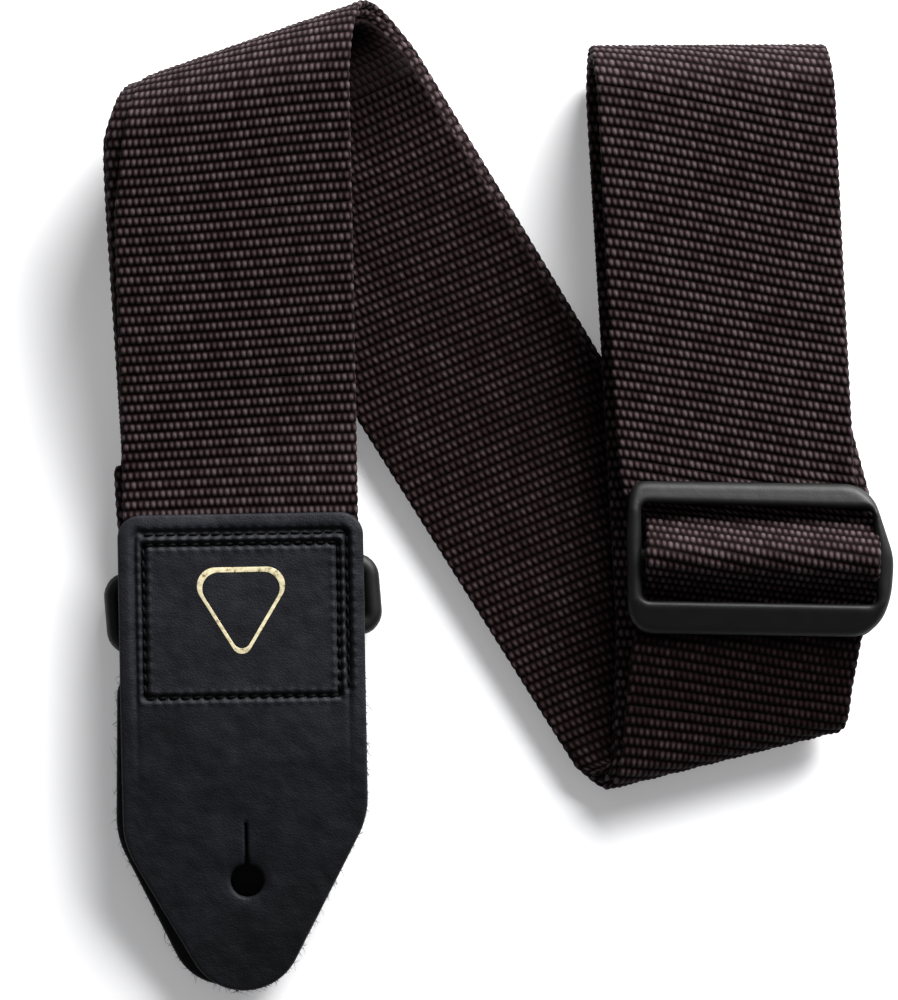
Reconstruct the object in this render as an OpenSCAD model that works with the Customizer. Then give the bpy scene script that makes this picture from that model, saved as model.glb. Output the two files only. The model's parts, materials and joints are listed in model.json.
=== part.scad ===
/* [Webbing] */
// Width of the main webbing
web_w = 50.8; // [38:0.1:51.5]
// Thickness of one layer of webbing
web_t = 1.4; // [1.0:0.1:1.6]
// Height from one stacked layer to the next
layer_pitch = 1.7; // [1.6:0.1:2.0]

/* [Folded shape] */
// Centre radius of the outermost layer in the left fold
left_fold_r = 11.4; // [10.5:0.1:12]
// Centre radius of the outermost layer in the bottom fold
bottom_fold_r = 4.4; // [4.3:0.1:4.6]
// Centre radius of the outer layer in the top fold of the right leg
top_fold_r = 10; // [9.5:0.1:10.5]
// Slope of the left leg where it comes down from its fold, in degrees
left_slope = 11.4; // [11:0.1:12]
// Length of the diagonal leg along its centre line
diagonal_length = 166.5; // [160:0.1:170]
// Length of the right leg from the bottom fold to the top fold
right_length = 134.5; // [130:0.5:140]

/* [Leather ends] */
// Width of a leather end
leather_w = 53; // [52:0.5:56]
// Thickness of a leather end
leather_t = 3.2; // [2.5:0.1:3.4]
// Length of the front leather end
front_leather_l = 103.5; // [95:0.5:106]
// Length of the rear leather end
rear_leather_l = 68.5; // [60:0.5:69]
// Radius of the strap button hole
button_hole_r = 3.6; // [3:0.1:4.5]
// Width of the slit above the strap button hole
slit_w = 1; // [0.6:0.1:1.5]
// Length of the slit above the strap button hole
slit_l = 9; // [6:0.5:12]
// Distance from the tip of the front leather end to its button hole
hole_from_tip = 24; // [20:0.5:28]
// Distance from the tip of the rear leather end to its button hole
rear_hole_from_tip = 32; // [31:0.5:34]

/* [Stitching] */
// Width of the stitched box
stitch_box_w = 42; // [36:0.5:44]
// Length of the stitched box
stitch_box_l = 33; // [28:0.5:34]
// Distance from one stitch to the next
stitch_pitch = 2.4; // [2:0.1:4]
// Thickness of the sewing thread
thread_t = 0.7; // [0.5:0.1:1]

/* [Ring and slider] */
// Outer width of the rectangular ring
ring_w = 60; // [59.5:0.5:62]
// Outer height of the rectangular ring
ring_h = 18; // [17:0.5:19]
// Radius of the long bars of the ring
ring_bar_r = 2.2; // [1.8:0.1:2.2]
// Width of the slider
slider_w = 58; // [57:0.5:60]
// Length of the slider along the webbing
slider_l = 34; // [33:0.5:35]
// Thickness of the slider
slider_t = 4; // [3.5:0.1:4]
// Radius of the slider's centre bar
centre_bar_r = 1.6; // [1.4:0.1:1.7]

/* [Hidden] */
$fn = 48;
half_t = web_t / 2;
fit = 0.15;
bend_steps = 16;
layers = [0, 1, 2];

// The model's origin is under the middle of its outline
origin_shift = [-10.165, -1.97];

// Heights of the three layers of the diagonal leg, from the floor up
diagonal_z = [for (i = layers) half_t + i * layer_pitch];

// Left fold: its line, the centre of its bends, and the radius of each layer
left_origin = [-41.8, 88.5, 0];
left_lean = -2.2;
left_fold_angle = 16;
left_centre_z = half_t + left_fold_r;
left_r = [for (i = layers) left_fold_r - i * layer_pitch];
left_edge = web_w / 2 / cos(left_fold_angle);
left_flat_z = [for (i = layers) 9.6 - i * layer_pitch];
left_offset = [0, -1.8, -2.4];
left_exit = PI * left_fold_r * tan(left_fold_angle);
diagonal_offset = [4.4, 3.6, 1.8];
diagonal_end_offset = [-0.8, -0.9, -1];

// Diagonal leg, from the end of the left fold to the start of the bottom fold
diagonal_angle = 2 * (left_fold_angle + left_lean) - 90 - left_lean;
diagonal_start = left_origin + left_exit * heading(left_fold_angle + left_lean);
diagonal_end = diagonal_start + diagonal_length * heading(diagonal_angle);
bottom_fold_angle = (90 + diagonal_angle) / 2 - 1;
bottom_centre_z = half_t + bottom_fold_r;
bottom_r = [for (i = layers) bottom_fold_r - i * layer_pitch];
bottom_edge = web_w / 2 / cos(bottom_fold_angle);
bottom_shift = PI * bottom_fold_r * tan(bottom_fold_angle) + 6.3;
bottom_shifts = [bottom_shift, bottom_shift - 1.5, bottom_shift - 2];

// Right leg
right_x = diagonal_end[0] + bottom_shift + 1.7;
right_back_x = right_x - 2.2;
right_bottom_y = diagonal_end[1] + 3;
right_top_y = right_bottom_y + right_length;
right_back_z = [for (i = [1, 2]) bottom_centre_z + bottom_r[i]];
right_level_y = [right_bottom_y + 22, right_bottom_y + 86, right_top_y - 6];
top_centre_z = half_t + top_fold_r;
top_r = [top_fold_r, top_fold_r - layer_pitch];

// Slider
slider_x = right_x + 3.9;
slider_y = right_bottom_y + 34;
slider_turn = -4;
slider_z = 14.4;
slider_bottom_bar = 6.5;
slider_top_bar = 5.2;
slider_side_bar = 3.3;
slider_corner_r = 4.2;
centre_bar_y = 0.6;
centre_bar_z = slider_z + slider_t / 2;
wrap_r = centre_bar_r + fit + half_t;
under_top_z = slider_z - 0.35 - half_t;
under_bottom_z = slider_z - 0.4 - half_t;
squeezed_w = web_w - 1.6;
hump_y = [-slider_l / 2 - 1, slider_l / 2 + 1];
tack_y = 27;

// Ring and the end of the left leg, measured down the leg from the left fold
leather_top = 89;
front_flex = 7.5;
ring_mid = 108.6;
ring_z = 4;
ring_lean = 3.8;
ring_corner_r = 3;
ring_side_r = 2;
ring_bar_y = ring_h / 2 - ring_bar_r;
ring_wrap_r = ring_bar_r + fit + half_t;
ring_start = ring_mid - ring_bar_y;
ring_end = ring_mid + ring_bar_y;

// Leather ends
front_z = left_flat_z[0] + half_t;
front_bend = 46;
front_drop = 6.6;
front_tip = leather_top + front_leather_l;
front_slope = atan(front_drop / (front_leather_l - front_bend));
rear_z = 0.1;
rear_shift = -2.4;
rear_hole_x = -1.2;
rear_tip = front_tip - 1;
rear_top = rear_tip - rear_leather_l;
tail_z = [rear_z + leather_t + 0.05 + half_t, rear_z + leather_t + 0.1 + half_t + web_t];
tail_end = rear_top + 30;
shoulder_r = 18;
shoulder_l = [37, 42];
tip_r = 12.6;
tip_shift = -0.9;
front_end_webbing_l = 44;

function heading(a) = [cos(a), sin(a), 0];
function lift(z) = [0, 0, z];

// A station is [distance, height, shift, tilt]: how far it is from the fold line,
// its height, its shift along the line, and its slope there.
// A row is the two edge points of the band at a station, and its upward normal.
function row(origin, angle, edge, s) =
  let (along = heading(angle), out = heading(angle + 90))
  let (middle = origin + out * s[0] + lift(s[1]) + along * s[2])
  [middle - along * edge, middle + along * edge, lift(cos(s[3])) - out * sin(s[3])];

// Stations round a bend about a line, with the shift going evenly from one end to the other
function bend(centre, r, from, to, shifts, steps = bend_steps) =
  [for (i = [0:steps])
    let (k = i / steps, a = from + (to - from) * k)
    [centre[0] + r * cos(a), centre[1] + r * sin(a), shifts[0] + (shifts[1] - shifts[0]) * k, a - 90]];

function rows(origin, angle, edge, stations) =
  [for (s = stations) row(origin, angle, edge, s)];

// A band of webbing through its rows
module strip(rows, t = web_t) {
  n = len(rows);
  points = [for (r = rows) each [
    r[0] + r[2] * t / 2, r[1] + r[2] * t / 2, r[1] - r[2] * t / 2, r[0] - r[2] * t / 2]];
  quads = [for (i = [0:n - 2], k = [0:3])
    [i * 4 + k, i * 4 + (k + 1) % 4, i * 4 + 4 + (k + 1) % 4, i * 4 + 4 + k]];
  ends = [[3, 2, 1, 0], [for (k = [0:3]) n * 4 - 4 + k]];
  triangles = [for (q = concat(quads, ends)) each [[q[0], q[1], q[2]], [q[0], q[2], q[3]]]];
  polyhedron(points, triangles, convexity = 6);
}

// A flat stretch of webbing with the given outline
module flat_run(outline, z) {
  translate([0, 0, z - half_t])
    linear_extrude(web_t)
      polygon(outline);
}

module place() {
  translate([origin_shift[0], origin_shift[1], 0])
    children();
}

module webbing() {
  color([0.11, 0.09, 0.09])
    place()
      children();
}

// The left leg's own frame: it runs down -Y from the left fold
module left_frame() {
  translate(left_origin)
    rotate(left_lean)
      children();
}

// Left leg -----------------------------------------------------------------

function left_shift(i, n) = tan(left_fold_angle) * n + left_offset[i] / cos(left_fold_angle);
function left_top(i) = [-left_r[i] * sin(left_slope), left_centre_z + left_r[i] * cos(left_slope)];
function left_bend(i) = left_top(i)[0] - (left_top(i)[1] - left_flat_z[i]) / tan(left_slope);
// The sloping stretch, from its level end up to the fold
function left_slope_rows(i) =
  rows([0, 0, 0], left_fold_angle, left_edge, [
    [left_bend(i), left_flat_z[i], tan(left_fold_angle) * left_bend(i), left_slope / 2],
    [left_top(i)[0], left_top(i)[1], left_shift(i, left_top(i)[0]), left_slope]]);

// A row straight across the left leg
function left_row(distance, z, tilt = 0) =
  row([0, 0, 0], 0, web_w / 2, [-distance, z, 0, tilt]);

// A row along the ring, which lies turned in its loops
function ring_row(distance, z, tilt = 0) =
  row([0, -ring_mid, 0], ring_lean, web_w / 2, [ring_mid - distance, z, 0, tilt]);

module ring_frame() {
  left_frame()
    translate([0, -ring_mid, ring_z])
      rotate(ring_lean)
        children();
}

module left_front_run() {
  webbing() left_frame()
    strip(concat([left_row(leather_top - front_flex, left_flat_z[0])], left_slope_rows(0)));
}

// The short free stretch that bends when the front leather end is lifted
module front_flex_run() {
  webbing() left_frame()
    translate([-web_w / 2, -leather_top, left_flat_z[0] - half_t])
      cube([web_w, front_flex, web_t]);
}

// One of the two layers that meet the ring
module ring_run(i, ring_side_z) {
  webbing() left_frame()
    strip(concat([
      ring_row(ring_start, ring_side_z),
      ring_row(ring_start - 2, ring_side_z),
      left_row(leather_top + 1, left_flat_z[i]),
      left_row(leather_top - 1, left_flat_z[i])], left_slope_rows(i)));
}

module left_sewn_run() { ring_run(1, ring_z + ring_wrap_r); }
module left_back_run() { ring_run(2, ring_z - ring_wrap_r); }

module half_turn(turn_r, w, side) {
  rotate([0, 90, 0])
    rotate([0, 0, side])
      translate([0, 0, -w / 2])
        difference() {
          cylinder(r = turn_r + half_t, h = w);
          translate([0, 0, -1])
            cylinder(r = turn_r - half_t, h = w + 2);
          translate([-turn_r * 2, -turn_r * 4, -1])
            cube([turn_r * 4, turn_r * 4, w + 2]);
        }
}

// The turn of the main webbing round the ring's upper bar
module ring_turn() {
  webbing() ring_frame()
    translate([0, ring_bar_y, 0])
      half_turn(ring_wrap_r, web_w, 180);
}

// Left fold ----------------------------------------------------------------

module left_fold(i) {
  start = left_shift(i, left_top(i)[0]);
  end = left_exit + diagonal_offset[i] / cos(left_fold_angle);
  stations = bend([0, left_centre_z], left_r[i], 90 + left_slope, -90, [start, end]);
  webbing() left_frame()
    strip(rows([0, 0, 0], left_fold_angle, left_edge, stations));
}

module left_fold_outer() { left_fold(0); }
module left_fold_middle() { left_fold(1); }
module left_fold_inner() { left_fold(2); }

// Diagonal leg -------------------------------------------------------------

module diagonal_run(i) {
  a = heading(left_fold_angle + left_lean);
  b = heading(bottom_fold_angle);
  p = diagonal_start + a * diagonal_offset[i] / cos(left_fold_angle);
  q = diagonal_end + b * diagonal_end_offset[i] / cos(bottom_fold_angle);
  corners = [p - a * left_edge, p + a * left_edge, q + b * bottom_edge, q - b * bottom_edge];
  webbing()
    flat_run([for (c = corners) [c[0], c[1]]], diagonal_z[i]);
}

module diagonal_back_run() { diagonal_run(0); }
module diagonal_middle_run() { diagonal_run(1); }
module diagonal_front_run() { diagonal_run(2); }

// Bottom fold --------------------------------------------------------------

// Both ends of a layer of the bottom fold, as shifts along its line; the line points left
function bottom_start(i) = -diagonal_end_offset[i] / cos(bottom_fold_angle);
function bottom_stop(i) = bottom_start(i) - bottom_shifts[i];
function bottom_rows(i, stations) =
  rows(diagonal_end, bottom_fold_angle + 180, bottom_edge, stations);

module bottom_fold(i) {
  webbing()
    strip(bottom_rows(i, bend([0, bottom_centre_z], bottom_r[i], 90, -90,
      [bottom_stop(i), bottom_start(i)])));
}

module bottom_fold_outer() { bottom_fold(0); }
module bottom_fold_middle() { bottom_fold(1); }
module bottom_fold_inner() { bottom_fold(2); }

// The last row of a bottom fold layer, with its left edge first
function bottom_top_row(i) =
  let (r = bottom_rows(i, [[0, bottom_centre_z + bottom_r[i], bottom_stop(i), 0]])[0])
  [r[1], r[0], lift(1)];

// Right leg ----------------------------------------------------------------

// A row straight across the right leg
function right_row(x, y, z, tilt = 0, w = web_w) = row([x, y, 0], 0, w / 2, [0, z, 0, tilt]);

// The webbing is squeezed together where it goes through the slider
function slider_row(y, z, tilt) =
  let (out = heading(slider_turn + 90))
  row([slider_x, slider_y, 0] + y * out, slider_turn, squeezed_w / 2, [0, z, 0, tilt]);

module right_lower_run() {
  stop = slider_y + hump_y[0];
  webbing() strip([
    bottom_top_row(0),
    right_row(right_x, stop - 1.5, under_bottom_z),
    right_row(right_x, stop, under_bottom_z)]);
}

// A back layer: level under the slider, then down to the floor and the top fold
module right_back(i) {
  z = right_back_z[i - 1];
  floor_z = top_centre_z - top_r[2 - i];
  y = right_level_y;
  webbing() strip([
    bottom_top_row(i),
    right_row(right_back_x, y[0], z, -3),
    right_row(right_back_x, y[1], z, -3),
    right_row(right_back_x, y[2], floor_z, -3),
    right_row(right_back_x, right_top_y, floor_z)]);
}

module right_back_inner_run() { right_back(1); }
module right_back_outer_run() { right_back(2); }

module top_fold(i) {
  stations = bend([0, top_centre_z], top_r[i], 90, -90, [right_x, right_back_x]);
  webbing()
    strip(rows([0, right_top_y, 0], 0, web_w / 2, stations));
}

module top_fold_outer() { top_fold(0); }
module top_fold_inner() { top_fold(1); }

// A front layer above the slider, from the slider to the top fold
module right_front(i, start, z) {
  webbing() strip([
    right_row(right_x, start, z),
    right_row(right_x, start + 3, z, 2.5),
    right_row(right_x, right_top_y - 8, top_centre_z + top_r[i], 2.5),
    right_row(right_x, right_top_y, top_centre_z + top_r[i])]);
}

module right_upper_run() {
  right_front(0, slider_y + hump_y[1], under_top_z);
}

module right_sewn_run() {
  right_front(1, slider_y + tack_y, under_top_z - layer_pitch);
}

// Slider -------------------------------------------------------------------

module slider_frame() {
  place()
    translate([slider_x, slider_y, slider_z])
      rotate(slider_turn)
        children();
}

module rounded_plate(w, l, t, r) {
  linear_extrude(t)
    union() {
      translate([-w / 2 + r, -l / 2])
        square([w - 2 * r, l]);
      translate([-w / 2, -l / 2 + r])
        square([w, l - 2 * r]);
      for (x = [-1, 1], y = [-1, 1])
        translate([x * (w / 2 - r), y * (l / 2 - r)])
          circle(r);
    }
}

// A flat plastic frame with a round bar across its window
module slider_buckle() {
  window_w = slider_w - 2 * slider_side_bar;
  window_l = slider_l - slider_bottom_bar - slider_top_bar;
  window_y = (slider_bottom_bar - slider_top_bar) / 2;
  color([0.2, 0.2, 0.21]) slider_frame() {
    difference() {
      rounded_plate(slider_w, slider_l, slider_t, slider_corner_r);
      translate([0, window_y, -1])
        rounded_plate(window_w, window_l, slider_t + 2, 1);
    }
    translate([-window_w / 2 - 1, centre_bar_y, slider_t / 2])
      rotate([0, 90, 0])
        cylinder(r = centre_bar_r, h = window_w + 2);
  }
}

// The main webbing over the centre bar, and under the two outer bars
module slider_webbing_hump() {
  reach = wrap_r + layer_pitch;
  webbing() strip(concat(
    [right_row(right_x, slider_y + hump_y[0], under_bottom_z)],
    [slider_row(centre_bar_y - 8.4, under_bottom_z, 22)],
    [for (a = [140:-16:44])
      slider_row(centre_bar_y + reach * cos(a), centre_bar_z + reach * sin(a), a - 90)],
    [slider_row(centre_bar_y + 8.4, under_top_z, -22)],
    [right_row(right_x, slider_y + hump_y[1], under_top_z)]));
}

// The sewn end: over the centre bar, round it, and back under itself to the bar tack
module sewn_end_loop() {
  upper_z = under_top_z - layer_pitch;
  lower_z = upper_z - layer_pitch;
  webbing() strip(concat(
    [right_row(right_x, slider_y + tack_y, upper_z, 180)],
    [slider_row(centre_bar_y + 7.2, upper_z, 150)],
    [for (a = [44:17:265])
      slider_row(centre_bar_y + wrap_r * cos(a), centre_bar_z + wrap_r * sin(a), a + 90)],
    [slider_row(centre_bar_y + 7.4, lower_z, -20)],
    [right_row(right_x, slider_y + tack_y - 2, lower_z)]));
}

// Two rows of thread across the sewn end, between its layers
module bar_tack() {
  z = under_top_z - 2 * layer_pitch - half_t - 0.3;
  color("black")
    place()
      for (y = [slider_y + tack_y - 10, slider_y + tack_y - 6])
        for (k = [-9:9])
          translate([right_x + k * stitch_pitch - 0.9, y - 0.4, z])
            cube([1.8, 0.8, 0.3]);
}

// Ring ---------------------------------------------------------------------

module ring() {
  x = ring_w / 2 - ring_side_r;
  y = ring_bar_y;
  c = ring_corner_r;
  color([0.16, 0.16, 0.17]) place() ring_frame() {
    for (side = [-1, 1]) {
      translate([-x + c, side * y, 0])
        rotate([0, 90, 0])
          cylinder(r = ring_bar_r, h = 2 * (x - c));
      translate([side * x, -y + c, 0])
        rotate([-90, 0, 0])
          cylinder(r = ring_side_r, h = 2 * (y - c));
    }
    for (sx = [0, 1], sy = [0, 1])
      mirror([sx, 0, 0])
        mirror([0, sy, 0])
          translate([x - c, y - c, 0])
            rotate_extrude(angle = 90)
              translate([c, 0])
                circle(ring_side_r);
  }
}

// Leather ends -------------------------------------------------------------

// Outline of a leather end: its top at 0 and its tip at -l. Its two shoulders are cut unevenly.
module leather_outline(w, l) {
  corner_r = 5;
  hull() {
    for (side = [0, 1])
      mirror([side, 0]) {
        translate([-w / 2 + corner_r, -corner_r])
          circle(corner_r, $fn = 32);
        translate([-w / 2 + shoulder_r, shoulder_l[side] - l])
          circle(shoulder_r, $fn = 32);
      }
    translate([tip_shift, tip_r - l])
      circle(tip_r, $fn = 32);
  }
}

// The strap button hole and its slit, cut square to the leather
module button_hole() {
  translate([0, 0, -8])
    cylinder(r = button_hole_r, h = 16);
  translate([-slit_w / 2, 0, -8])
    cube([slit_w, button_hole_r + slit_l, 16]);
}

module front_leather_end() {
  l = front_leather_l;
  color([0.15, 0.15, 0.17]) place() left_frame()
    translate([0, -leather_top, front_z])
      difference() {
        intersection() {
          translate([0, 0, -20])
            linear_extrude(40)
              leather_outline(leather_w, l);
          rotate([90, 0, 90])
            linear_extrude(leather_w + 2, center = true)
              polygon([
                [1, 0], [1, leather_t], [-front_bend, leather_t],
                [-l, leather_t - front_drop], [-l, -front_drop], [-front_bend, 0]]);
        }
        translate([0, -l + hole_from_tip, -(l - hole_from_tip - front_bend) * tan(front_slope)])
          rotate([front_slope, 0, 0])
            button_hole();
      }
}

// The end of the webbing, sewn under the front leather
module front_webbing_end() {
  webbing() left_frame()
    translate([-web_w / 2, -leather_top - front_end_webbing_l, left_flat_z[0] - half_t])
      cube([web_w, front_end_webbing_l, web_t]);
}

// One line of stitches along +X from the origin
module stitch_line(length) {
  count = floor(length / stitch_pitch);
  for (i = [0:count - 1])
    translate([(i + 0.12) * stitch_pitch, -thread_t / 2, 0])
      cube([stitch_pitch * 0.76, thread_t, 0.3]);
}

module stitch_box(w, l) {
  for (side = [-1, 1]) {
    translate([-w / 2, side * l / 2, 0])
      stitch_line(w);
    translate([side * w / 2, -l / 2 + thread_t, 0])
      rotate(90)
        stitch_line(l - 2 * thread_t);
  }
}

module front_box_stitching() {
  box_mid = leather_top + 6.5 + stitch_box_l / 2;
  color("black") place() left_frame()
    translate([0, -box_mid, front_z + leather_t]) {
      stitch_box(stitch_box_w, stitch_box_l);
      translate([-stitch_box_w / 2, stitch_box_l / 2 + 2.2, 0])
        stitch_line(stitch_box_w);
      translate([stitch_box_w / 2 + 2, -stitch_box_l / 2 + 2, 0])
        rotate(90)
          stitch_line(stitch_box_l - 2);
    }
}

// A plain plectrum shape in gold foil
module foil_mark() {
  mark_w = 20;
  mark_t = 0.08;
  mark_mid = leather_top + 20.5;
  color([0.72, 0.6, 0.32]) place() left_frame()
    translate([0, -mark_mid, front_z + leather_t])
      linear_extrude(mark_t)
        difference() {
          plectrum(mark_w / 2);
          plectrum(mark_w / 2 - 1.2);
        }
}

module plectrum(r) {
  hull() {
    for (side = [-1, 1])
      translate([side * r * 0.55, r * 0.5])
        circle(r * 0.4);
    translate([0, -r * 0.75])
      circle(r * 0.22);
  }
}

module rear_leather_end() {
  l = rear_leather_l;
  color([0.13, 0.13, 0.15]) place() left_frame()
    translate([rear_shift, -rear_top, rear_z])
      difference() {
        linear_extrude(leather_t)
          leather_outline(leather_w - 2.4, l);
        translate([rear_hole_x, -l + rear_hole_from_tip, leather_t / 2])
          button_hole();
      }
}

// A short length of webbing goes round the ring's lower bar, and both its tails lie on
// the rear leather end. These are the rows of its turn.
function rear_turn_rows() = [for (a = [-90:15:90]) ring_row(
  ring_end - ring_wrap_r * cos(a), ring_z + ring_wrap_r * sin(a), a + 90)];

module rear_loop_under_run() {
  webbing() left_frame()
    strip([
      left_row(tail_end, tail_z[0]), left_row(rear_top - 0.5, tail_z[0], -14),
      ring_row(ring_end + 2.8, ring_z - ring_wrap_r + 0.3, -14),
      rear_turn_rows()[0]]);
}

module rear_loop_turn() {
  webbing() left_frame()
    strip(rear_turn_rows());
}

module rear_loop_over_run() {
  turn = rear_turn_rows();
  webbing() left_frame()
    strip([
      turn[len(turn) - 1], left_row(rear_top - 0.5, tail_z[1], 180),
      left_row(tail_end, tail_z[1], 180)]);
}

module rear_box_stitching() {
  box_l = 22;
  z = tail_z[1] + half_t;
  color("black") place() left_frame()
    translate([0, -rear_top - 4 - box_l / 2, z])
      stitch_box(stitch_box_w, box_l);
}

front_leather_end();
front_box_stitching();
foil_mark();
front_webbing_end();
front_flex_run();
left_front_run();
left_sewn_run();
left_back_run();
ring_turn();
ring();
rear_leather_end();
rear_loop_under_run();
rear_loop_turn();
rear_loop_over_run();
rear_box_stitching();
left_fold_outer();
left_fold_middle();
left_fold_inner();
diagonal_back_run();
diagonal_middle_run();
diagonal_front_run();
bottom_fold_outer();
bottom_fold_middle();
bottom_fold_inner();
right_lower_run();
right_back_inner_run();
right_back_outer_run();
top_fold_outer();
top_fold_inner();
right_upper_run();
right_sewn_run();
slider_buckle();
slider_webbing_hump();
sewn_end_loop();
bar_tack();
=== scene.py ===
import json
import math

import bpy
import numpy as np
from mathutils import Matrix, Vector, noise
from mathutils.geometry import delaunay_2d_cdt


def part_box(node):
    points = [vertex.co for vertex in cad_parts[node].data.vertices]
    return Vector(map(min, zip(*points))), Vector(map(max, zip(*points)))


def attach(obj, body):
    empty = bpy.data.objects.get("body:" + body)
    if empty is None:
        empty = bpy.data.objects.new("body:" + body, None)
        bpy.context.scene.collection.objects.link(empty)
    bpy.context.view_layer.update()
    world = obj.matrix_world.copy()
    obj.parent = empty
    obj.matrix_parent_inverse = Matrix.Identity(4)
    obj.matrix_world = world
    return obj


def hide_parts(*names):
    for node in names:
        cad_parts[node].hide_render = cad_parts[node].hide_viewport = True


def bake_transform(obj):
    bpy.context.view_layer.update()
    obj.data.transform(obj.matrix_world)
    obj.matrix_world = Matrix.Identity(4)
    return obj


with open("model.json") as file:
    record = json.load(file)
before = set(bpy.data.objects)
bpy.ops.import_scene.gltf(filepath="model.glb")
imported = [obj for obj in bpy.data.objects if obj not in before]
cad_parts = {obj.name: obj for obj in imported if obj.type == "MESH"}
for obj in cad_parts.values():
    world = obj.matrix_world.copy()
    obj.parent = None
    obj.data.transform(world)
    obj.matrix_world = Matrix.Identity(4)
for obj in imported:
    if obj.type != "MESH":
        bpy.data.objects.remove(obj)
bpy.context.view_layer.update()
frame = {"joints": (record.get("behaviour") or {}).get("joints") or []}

MM = 0.001
RNG = np.random.default_rng(7)

# Webbing --------
# Sizes are in millimetres. The strap's layers and folds are the frame's own.
WEB_W = 50.8
LAYER_T = 1.4
PITCH = 1.7  # from one layer to the next
HALF_T = LAYER_T / 2
RIB = 2.16  # one rib of the weave, along the webbing
BUMP = WEB_W / 36.5  # one yarn's bump, across the webbing
RIB_STEPS = 5
BUMP_STEPS = 4
CREST = 0.42  # height of a bump above its groove
ROW_STEP = 0.25  # between the rows the webbing's path is smoothed on
TURN_ROWS = 29

# The left leg's lengths are measured down it from its fold
LEFT_SLOPE = 11.4  # degrees, from the level stretch up to the fold
LEFT_FLAT_Z = 9.6
LEATHER_TOP = 89.0
FRONT_TAIL = 44.0  # webbing under the front leather
RING_MID = 108.6
RING_BAR_Y = 6.8  # from the ring's middle to each of its bars
RING_BAR_R = 2.2
RING_Z = 4.0
WRAP_FIT = 0.15  # room between a bar and the webbing round it

# The slider's lengths are measured up the right leg from its middle
SLIDER_TURN = -4.0
BAR_Y = 0.6
BAR_R = 1.6
HUMP_END = 18.0
TACK_Y = 27.0
SQUEEZED_W = 50.2  # the webbing's width inside the slider

JOINTS = {j["name"]: j for j in frame["joints"]}


def joint_point(name):
    return np.array(JOINTS[name]["pos_m"]) / MM


def joint_angle(name, sign):
    axis = JOINTS[name]["axis"]
    return math.degrees(math.atan2(sign * axis[1], sign * axis[0]))


def heading(angle):
    a = math.radians(angle)
    return np.array([math.cos(a), math.sin(a), 0.0])


def unit(v):
    return v / (np.linalg.norm(v, axis=-1, keepdims=True) + 1e-12)


UP = np.array([0.0, 0.0, 1.0])
LEFT_POINT = joint_point("left_fold_open")
LEFT_LINE = joint_angle("left_fold_open", -1)
LEFT_LEAN = joint_angle("front_end_lift", -1)
LEFT_TURN = LEFT_LINE - LEFT_LEAN
LEFT_COS = math.cos(math.radians(LEFT_TURN))
LEFT_TAN = math.tan(math.radians(LEFT_TURN))
RING_TURN = joint_angle("ring_swivel", 1) - LEFT_LEAN
LEFT_EDGE = WEB_W / 2 / LEFT_COS
LEFT_R = [LEFT_POINT[2] - HALF_T - i * PITCH for i in range(3)]
LEFT_GROUND = LEFT_POINT * [1, 1, 0]

BOTTOM_POINT = joint_point("bottom_fold_open")
BOTTOM_LINE = joint_angle("bottom_fold_open", 1)
BOTTOM_COS = math.cos(math.radians(BOTTOM_LINE))
BOTTOM_EDGE = WEB_W / 2 / BOTTOM_COS
BOTTOM_R = [BOTTOM_POINT[2] - HALF_T - i * PITCH for i in range(3)]
BOTTOM_GROUND = BOTTOM_POINT * [1, 1, 0]


def node_box(node):
    lo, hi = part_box(node)
    return np.array(lo) / MM, np.array(hi) / MM


SLIDER_LO, SLIDER_HI = node_box("slider_buckle")
SLIDER = (SLIDER_LO + SLIDER_HI) / 2
SLIDER_GROUND = SLIDER * [1, 1, 0]
BAR_Z = SLIDER[2]
UPPER_LO, UPPER_HI = node_box("right_upper_run")
RIGHT_X = (UPPER_LO[0] + UPPER_HI[0]) / 2
TOP_Y = UPPER_HI[1]
TOP_LO, TOP_HI = node_box("top_fold_outer")
TOP_R = [(TOP_HI[2] - TOP_LO[2]) / 2 - HALF_T - i * PITCH for i in range(2)]
TOP_CENTRE_Z = TOP_HI[2] / 2
BACK_X = RIGHT_X - 2.2  # the two back layers lie a little to the left


def left_points(x, down, z):
    """Points in the left leg's own frame: x across it, down its length from the fold."""
    points = LEFT_GROUND + np.outer(x, heading(LEFT_LEAN)) - np.outer(down, heading(LEFT_LEAN + 90))
    points[:, 2] = z
    return points


def left_point(x, down, z):
    return left_points([x], [down], z)[0]


def left_row(down, z, shift=0.0):
    return [left_point(shift - WEB_W / 2, down, z), left_point(shift + WEB_W / 2, down, z)]


def line_row(origin, angle, half, out, z, along, side=1):
    """The two edge points of the webbing, on a line at this angle, moved out from it."""
    middle = origin + heading(angle + 90 * side) * out + UP * z + heading(angle) * along
    return [middle - heading(angle) * half, middle + heading(angle) * half]


def turn(centre_z, r, a0, a1, along0, along1, place):
    """Rows round an arc, which shift along the fold's own line on the way."""
    rows = []
    for k in np.linspace(0, 1, TURN_ROWS):
        a = math.radians(a0 + (a1 - a0) * k)
        rows.append(place(r * math.cos(a), centre_z + r * math.sin(a), along0 + (along1 - along0) * k))
    return rows


# Sideways offsets of the three layers, which never lie quite in line
LEFT_OFFSET = [0.0, -1.8, -2.4]
DIAGONAL_OFFSET = [4.4, 3.6, 1.8]
DIAGONAL_END_OFFSET = [-0.8, -0.9, -1.0]
LEFT_EXIT = math.pi * LEFT_R[0] * LEFT_TAN
BOTTOM_SHIFT = math.pi * BOTTOM_R[0] * math.tan(math.radians(BOTTOM_LINE)) + 6.3
BOTTOM_SHIFTS = [BOTTOM_SHIFT, BOTTOM_SHIFT - 1.5, BOTTOM_SHIFT - 2]
CORNER_OUT = 2.2  # how far the left fold's outer corner stands out
SLOPE_BEND = 13  # length over which the slope's layers fan out


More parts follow.
